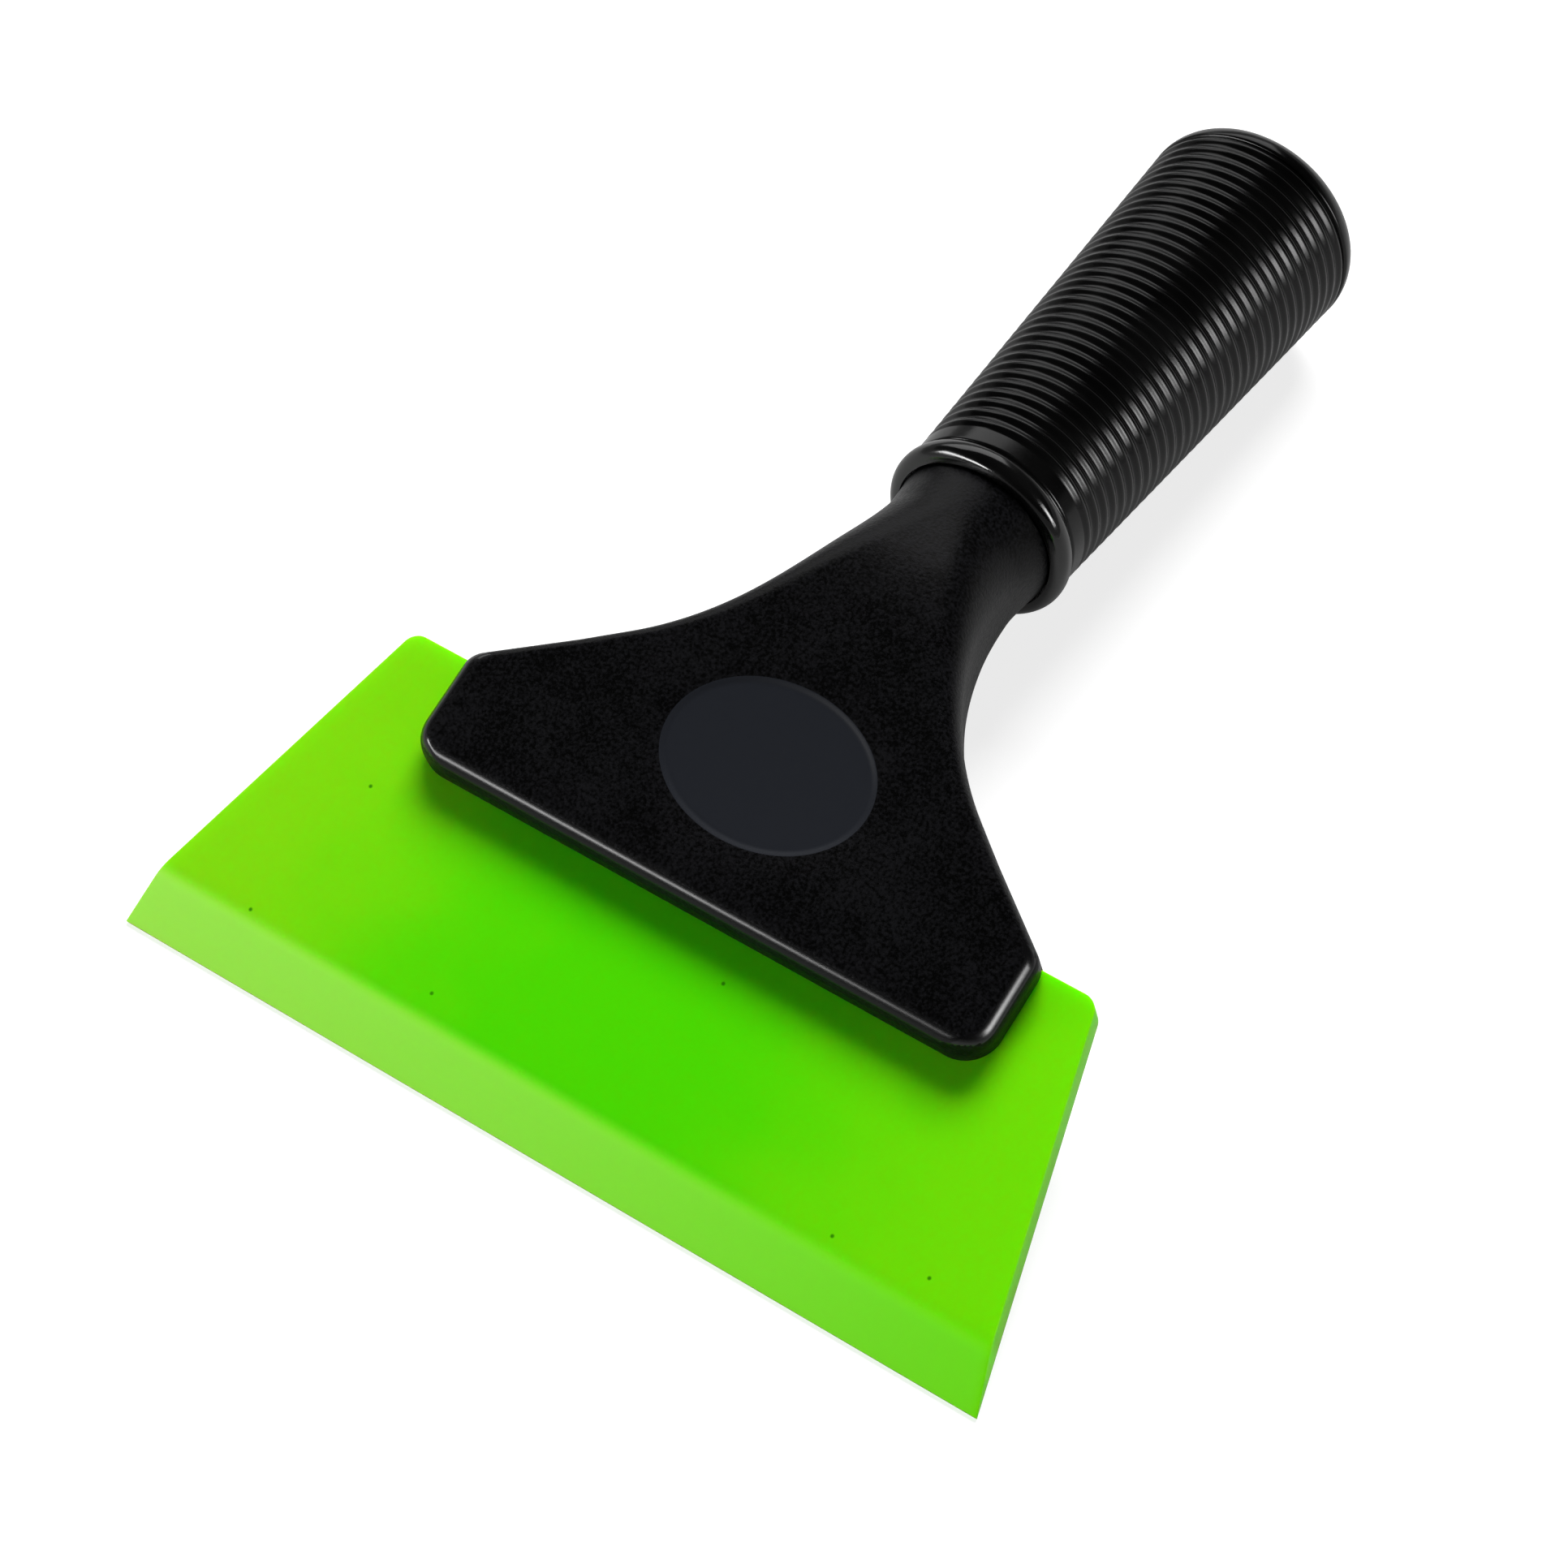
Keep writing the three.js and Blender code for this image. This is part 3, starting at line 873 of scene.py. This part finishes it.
# Satin ABS: the panel's part of the mould was only polished, so it has hardly any grain and looks a shade
# greyer than the rest.
grey_panel = "#1B1D22"
satin_grain = 1.2 * mm
satin_smoothest = 0.42
satin_roughest = 0.5
satin_bump = 0.1
satin_relief = 0.05 * mm
satin_shine = 0.12
satin_abs = start_material("abs_satin_panel")
where = add_node(satin_abs, "ShaderNodeTexCoord", {}, {})
grain = add_node(satin_abs, "ShaderNodeTexNoise", {}, {
    "Vector": where.outputs["Object"],
    "Scale": 1 / satin_grain,
    "Detail": 3.0,
})
gloss = add_node(satin_abs, "ShaderNodeMapRange", {}, {
    "Value": grain.outputs["Fac"],
    "To Min": satin_smoothest,
    "To Max": satin_roughest,
})
relief = add_node(satin_abs, "ShaderNodeBump", {}, {
    "Height": grain.outputs["Fac"],
    "Strength": satin_bump,
    "Distance": satin_relief,
})
surface = add_node(satin_abs, "ShaderNodeBsdfPrincipled", {}, {
    "Base Color": linear(grey_panel),
    "Roughness": gloss.outputs["Result"],
    "IOR": abs_ior,
    "Specular IOR Level": satin_shine,
    "Normal": relief.outputs["Normal"],
})
add_node(satin_abs, "ShaderNodeOutputMaterial", {}, {"Surface": surface.outputs["BSDF"]})

# Burnished ABS: hands and pouches have rubbed the grain off the jaw's rounded edges, so they are smooth and
# show each lamp as a thin bright line. The ends stand out further than the lip and are rubbed the most.
black_rubbed = "#070708"
rub_length = 0.8 * mm
rubbed_smoothest = 0.18
rubbed_roughest = 0.26
rubbed_bump = 0.06
rubbed_relief = 0.05 * mm
worn_shine = 0.29
burnished_shine = 0.53
worn_lip = start_material("abs_worn_lip")
burnished_ends = start_material("abs_burnished_ends")
for rubbed, shine_level in ((worn_lip, worn_shine), (burnished_ends, burnished_shine)):
    where = add_node(rubbed, "ShaderNodeTexCoord", {}, {})
    rubs = add_node(rubbed, "ShaderNodeTexNoise", {}, {
        "Vector": where.outputs["Object"],
        "Scale": 1 / rub_length,
        "Detail": 3.0,
    })
    gloss = add_node(rubbed, "ShaderNodeMapRange", {}, {
        "Value": rubs.outputs["Fac"],
        "To Min": rubbed_smoothest,
        "To Max": rubbed_roughest,
    })
    relief = add_node(rubbed, "ShaderNodeBump", {}, {
        "Height": rubs.outputs["Fac"],
        "Strength": rubbed_bump,
        "Distance": rubbed_relief,
    })
    surface = add_node(rubbed, "ShaderNodeBsdfPrincipled", {}, {
        "Base Color": linear(black_rubbed),
        "Roughness": gloss.outputs["Result"],
        "IOR": abs_ior,
        "Specular IOR Level": shine_level,
        "Normal": relief.outputs["Normal"],
    })
    add_node(rubbed, "ShaderNodeOutputMaterial", {}, {"Surface": surface.outputs["BSDF"]})

head_materials = (eroded_abs, satin_abs, worn_lip, burnished_ends)
head = add_piece("head_moulding", head_mesh, head_materials, moulding_sharp_degrees)
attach(head, "handle")
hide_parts("handle_body")

# Clamp plate
# The back jaw, moulded in the same black ABS. It closes the back of the fan behind the blade, and has sunk
# seats for the three screws that pull it tight.
plate_edge_round = 0.3
plate_edge_degrees = (30, 60, 90)
screw_head_radius = 3.2
seat_chamfer = 0.35
seat_sides = 48

plate_rings = []
for s in stations_in(lip, clamp_top):
    half_width, half_thickness, radius = head_size_at(s)
    high = above_spine(s, -jaw_inside)
    radius = min(radius, half_thickness + high - cut_round)
    outline = rounded_outline(half_width, -half_thickness, high, radius, cut_round, outline_steps)
    plate_rings.append(square_to_spine(s, outline))
for degrees in plate_edge_degrees:
    angle = math.radians(degrees)
    inset = plate_edge_round * (1 - math.cos(angle))
    s = clamp_top - ring_gap + plate_edge_round * math.sin(angle)
    half_width, half_thickness, radius = head_size_at(s)
    high = above_spine(s, -jaw_inside) - inset
    outline = rounded_outline(
        half_width - inset, inset - half_thickness, high, radius, cut_round, outline_steps
    )
    plate_rings.append(square_to_spine(s - plate_edge_round, outline))
plate_mesh = bmesh.new()
add_rings(plate_mesh, plate_rings)

seat_floor = screw_seat + fit_gap
seat_radius = screw_head_radius + fit_gap
back_face = -head_half
seat_profile = (
    (shank_radius + fit_gap, 0.0),
    (shank_radius + fit_gap, seat_floor),
    (seat_radius, seat_floor),
    (seat_radius, back_face + seat_chamfer),
    (seat_radius + seat_chamfer, back_face),
    (seat_radius + 2 * seat_chamfer, back_face - seat_chamfer),
)
plate_cutters = bmesh.new()
add_bite_grooves(plate_cutters, -jaw_inside - bite_depth)
for x in screw_places.values():
    add_rings(plate_cutters, [
        [
            Vector((x + radius * math.cos(t), screw_height + radius * math.sin(t), z))
            for t in turns_round(seat_sides)
        ]
        for radius, z in seat_profile
    ])
cut_away(plate_mesh, plate_cutters)
plate = add_piece("clamp_plate_moulding", plate_mesh, (eroded_abs,), moulding_sharp_degrees)
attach(plate, "handle")
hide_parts("clamp_plate")

# Clamp screws
# Three self-tapping pan-head screws with a cross recess, cold headed from steel wire and zinc plated.
# They are driven from the back through the clamp plate into the head.
screw_point = 2.5
screw_tip_radius = 0.05
screw_head_height = 2.2
screw_head_rim = 0.8
screw_head_break = 0.1
recess_length = 3.6
recess_width = 0.9
recess_depth = 1.3
recess_taper = 0.62
recess_above = 0.3
recess_flare = 1.1
screw_sides = 48
dome_steps = 10
screw_sharp_degrees = 32

# Bright zinc plate: a clean pale grey metal, a little cloudy, with a fine grain from the plating bath.
zinc_pale = "#C6C9CC"
zinc_grey = "#A7ABB0"
zinc_cloud = 1.2 * mm
zinc_grain = 0.1 * mm
zinc_smoothest = 0.22
zinc_roughest = 0.36
zinc_bump = 0.15
zinc_relief = 0.02 * mm
zinc = start_material("steel_zinc_plated")
where = add_node(zinc, "ShaderNodeTexCoord", {}, {})
cloud = add_node(zinc, "ShaderNodeTexNoise", {}, {
    "Vector": where.outputs["Object"],
    "Scale": 1 / zinc_cloud,
    "Detail": 3.0,
})
colour = add_node(zinc, "ShaderNodeMix", {"data_type": "RGBA"}, {
    0: cloud.outputs["Fac"],
    6: linear(zinc_pale),
    7: linear(zinc_grey),
})
grain = add_node(zinc, "ShaderNodeTexNoise", {}, {
    "Vector": where.outputs["Object"],
    "Scale": 1 / zinc_grain,
    "Detail": 1.0,
})
gloss = add_node(zinc, "ShaderNodeMapRange", {}, {
    "Value": cloud.outputs["Fac"],
    "To Min": zinc_smoothest,
    "To Max": zinc_roughest,
})
relief = add_node(zinc, "ShaderNodeBump", {}, {
    "Height": grain.outputs["Fac"],
    "Strength": zinc_bump,
    "Distance": zinc_relief,
})
surface = add_node(zinc, "ShaderNodeBsdfPrincipled", {}, {
    "Base Color": colour.outputs[2],
    "Metallic": 1.0,
    "Roughness": gloss.outputs["Result"],
    "Normal": relief.outputs["Normal"],
})
add_node(zinc, "ShaderNodeOutputMaterial", {}, {"Surface": surface.outputs["BSDF"]})

screw_profile = [
    (screw_tip_radius, -screw_length),
    (shank_radius, screw_point - screw_length),
    (shank_radius, 0.0),
    (screw_head_radius - screw_head_break, 0.0),
    (screw_head_radius, screw_head_break),
    (screw_head_radius, screw_head_rim),
]
for i in range(1, dome_steps + 1):
    angle = math.radians(90 * i / dome_steps)
    rise = screw_head_rim + (screw_head_height - screw_head_rim) * math.sin(angle)
    screw_profile.append((max(screw_head_radius * math.cos(angle), screw_tip_radius), rise))
recess_profile = (
    (screw_head_height - recess_depth, recess_taper),
    (screw_head_height + recess_above, recess_flare),
)
for place, x in screw_places.items():
    screw_mesh = bmesh.new()
    add_rings(screw_mesh, [
        [
            Vector((x + radius * math.cos(t), screw_height + radius * math.sin(t), screw_seat - along))
            for t in turns_round(screw_sides)
        ]
        for radius, along in screw_profile
    ])
    cross_rings = []
    for along, scale in recess_profile:
        arm = recess_length / 2 * scale
        rib = recess_width / 2 * scale
        corners = (
            (arm, -rib), (arm, rib), (rib, rib), (rib, arm), (-rib, arm), (-rib, rib),
            (-arm, rib), (-arm, -rib), (-rib, -rib), (-rib, -arm), (rib, -arm), (rib, -rib),
        )
        cross_rings.append([
            Vector((x + u, screw_height + v, screw_seat - along)) for u, v in corners
        ])
    cross = bmesh.new()
    add_rings(cross, cross_rings)
    cut_away(screw_mesh, cross)
    screw = add_piece(f"clamp_screw_{place}_zinc", screw_mesh, (zinc,), screw_sharp_degrees)
    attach(screw, "handle")
    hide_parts(f"clamp_screw_{place}")

# Grip sleeve
# Glossy black rubber, moulded as a closed sleeve with a rolled bead at its mouth and fine rings round it.
# It is pushed over the tang and holds by its own stretch.
grip_length = 76.6
collar_wall = 1.9
bead_length = 3.4
groove_depth = 0.9
groove_width = 0.8
groove_floor_share = 0.4
band_step = 0.6
band_length = 2.45
rib_lead = 0.3
grip_swell = 3.1
rib_pitch = 2.04
rib_depth = 0.4
end_radius = 4.2
end_wall = 4.0
grip_sides = 128
bead_steps = 24
band_steps = 6
rib_steps = 10
last_rise_steps = 4
end_steps = 12
grip_sharp_degrees = 50

collar_radius = neck_radius + fit_gap + collar_wall
band_radius = collar_radius - band_step
band_start = bead_length + groove_width
rib_start = band_start + band_length
band_end = rib_start - rib_lead
end_start = grip_length - end_radius
rib_count = math.floor((end_start - rib_start) / rib_pitch)
last_valley = rib_start + rib_count * rib_pitch
grip_end_radius = band_radius + grip_swell
bore = tang_radius + fit_gap
mouth = neck_radius + fit_gap
seat_depth = neck_seat + fit_gap


def crest_at(along):
    """Radius of the rings' crests at a distance from the collar."""
    return band_radius + grip_swell * (along - band_start) / (end_start - band_start)


# Bore, bead, groove, plain band, rings, and the rounded closed end
grip_profile = [(bore - tang_draft, grip_length - end_wall), (bore, seat_depth), (mouth, seat_depth)]
for i in range(bead_steps + 1):
    angle = math.radians(180 * i / bead_steps)
    bulge = collar_radius - mouth if i < bead_steps / 2 else groove_depth
    radius = collar_radius - bulge * (1 - math.sin(angle))
    grip_profile.append((radius, bead_length / 2 * (1 - math.cos(angle))))
for i in range(1, band_steps + 1):
    angle = math.radians(90 * i / band_steps)
    rise = (band_radius - collar_radius + groove_depth) * math.sin(angle)
    share = groove_floor_share + (1 - groove_floor_share) * (1 - math.cos(angle))
    grip_profile.append((collar_radius - groove_depth + rise, bead_length + groove_width * share))
grip_profile.append((crest_at(band_end), band_end))
for rib in range(rib_count):
    for i in range(rib_steps):
        angle = math.radians(360 * i / rib_steps)
        along = rib_start + rib_pitch * (rib + i / rib_steps)
        grip_profile.append((crest_at(along) - rib_depth / 2 * (1 + math.cos(angle)), along))
for i in range(last_rise_steps):
    angle = math.radians(90 * i / last_rise_steps)
    along = last_valley + (end_start - last_valley) * (1 - math.cos(angle))
    grip_profile.append((grip_end_radius - rib_depth * (1 - math.sin(angle)), along))
for i in range(end_steps + 1):
    angle = math.radians(90 * i / end_steps)
    radius = grip_end_radius - end_radius * (1 - math.cos(angle))
    grip_profile.append((radius, grip_length - end_radius * (1 - math.sin(angle))))

collar_y, collar_z, _ = spine_at(collar)
on_tang = Matrix.Translation((0.0, collar_y, collar_z)) @ Matrix.Rotation(-bend_angle, 4, "X")
off_tang = on_tang.inverted()
grip_mesh = bmesh.new()
add_rings(grip_mesh, [
    [
        on_tang @ Vector((radius * math.sin(t), along, radius * math.cos(t)))
        for t in turns_round(grip_sides)
    ]
    for radius, along in grip_profile
])
ring_faces, bead_faces = range(2)
for face in grip_mesh.faces:
    on_bead = (off_tang @ face.calc_center_median()).y < bead_length
    face.material_index = bead_faces if on_bead else ring_faces

# Moulded rubber from a polished mould: deep black with sharp highlights, dulled here and there by handling.
# The rolled bead was polished further, and shows each lamp as a small bright glint.
black_rubber = "#020202"
black_rubber_dull = "#070707"
rubber_ior = 1.52
handling_cloud = 9 * mm
handled_from = 0.35
handled_to = 0.7
handled_dulling = 0.1
rubber_grain = 0.4 * mm
rubber_bump = 0.12
rubber_relief = 0.04 * mm
rubber_shine = 0.29
rubber_smoothest = 0.16
bead_shine = 0.62
bead_smoothest = 0.1
rubber = start_material("rubber_moulded_gloss")
bead_rubber = start_material("rubber_polished_bead")
for skin, shine_level, smoothest in (
    (rubber, rubber_shine, rubber_smoothest),
    (bead_rubber, bead_shine, bead_smoothest),
):
    where = add_node(skin, "ShaderNodeTexCoord", {}, {})
    cloud = add_node(skin, "ShaderNodeTexNoise", {}, {
        "Vector": where.outputs["Object"],
        "Scale": 1 / handling_cloud,
        "Detail": 4.0,
    })
    handled = add_node(skin, "ShaderNodeMapRange", {}, {
        "Value": cloud.outputs["Fac"],
        "From Min": handled_from,
        "From Max": handled_to,
    })
    colour = add_node(skin, "ShaderNodeMix", {"data_type": "RGBA"}, {
        0: handled.outputs["Result"],
        6: linear(black_rubber),
        7: linear(black_rubber_dull),
    })
    gloss = add_node(skin, "ShaderNodeMapRange", {}, {
        "Value": handled.outputs["Result"],
        "To Min": smoothest,
        "To Max": smoothest + handled_dulling,
    })
    grain = add_node(skin, "ShaderNodeTexNoise", {}, {
        "Vector": where.outputs["Object"],
        "Scale": 1 / rubber_grain,
        "Detail": 2.0,
    })
    relief = add_node(skin, "ShaderNodeBump", {}, {
        "Height": grain.outputs["Fac"],
        "Strength": rubber_bump,
        "Distance": rubber_relief,
    })
    surface = add_node(skin, "ShaderNodeBsdfPrincipled", {}, {
        "Base Color": colour.outputs[2],
        "Roughness": gloss.outputs["Result"],
        "IOR": rubber_ior,
        "Specular IOR Level": shine_level,
        "Normal": relief.outputs["Normal"],
    })
    add_node(skin, "ShaderNodeOutputMaterial", {}, {"Surface": surface.outputs["BSDF"]})

grip = add_piece("grip_sleeve_moulding", grip_mesh, (rubber, bead_rubber), grip_sharp_degrees)
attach(grip, "handle")
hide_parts("grip_sleeve")
